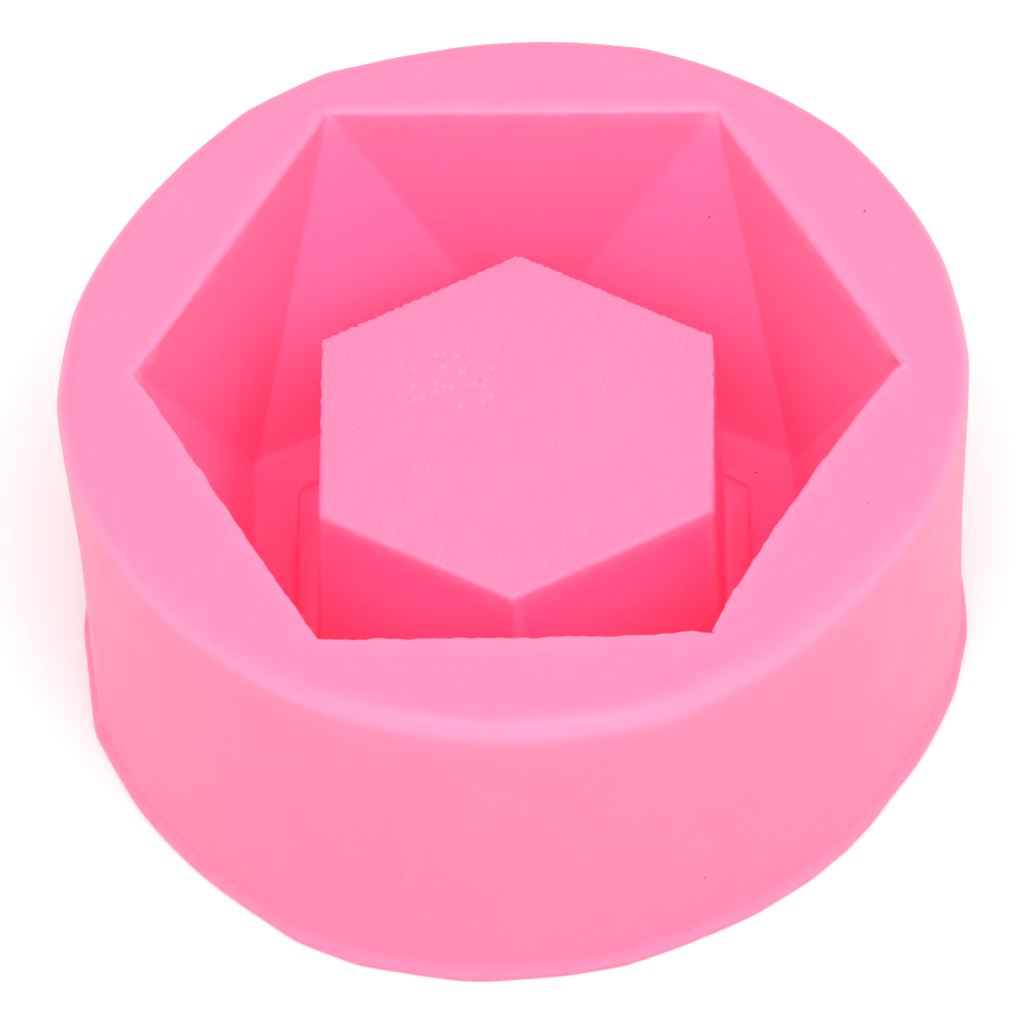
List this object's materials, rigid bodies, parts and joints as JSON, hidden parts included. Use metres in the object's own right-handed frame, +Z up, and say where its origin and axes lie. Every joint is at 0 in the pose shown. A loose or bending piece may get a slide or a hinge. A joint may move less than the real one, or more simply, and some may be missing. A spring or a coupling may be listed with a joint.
{
  "type": "resin casting mould",
  "caption": "Round silicone rubber mould with a facetted hexagonal cavity and a raised hexagonal core, for casting a facetted tealight cup in resin, plaster or wax.",
  "frame": {"origin": "centre of the flat underside that the mould stands on", "axes": "+Z up out of the mouth, +X through one corner of the hexagonal mouth, +Y square to one flat of the mouth"},
  "size_m": [0.0934, 0.0934, 0.0426],
  "materials": {
    "silicone": "satin pink translucent silicone rubber"
  },
  "bodies": {
    "root": {"base_floor": "silicone", "outer_wall": "silicone", "centre_core": "silicone"}
  },
  "joints": []
}
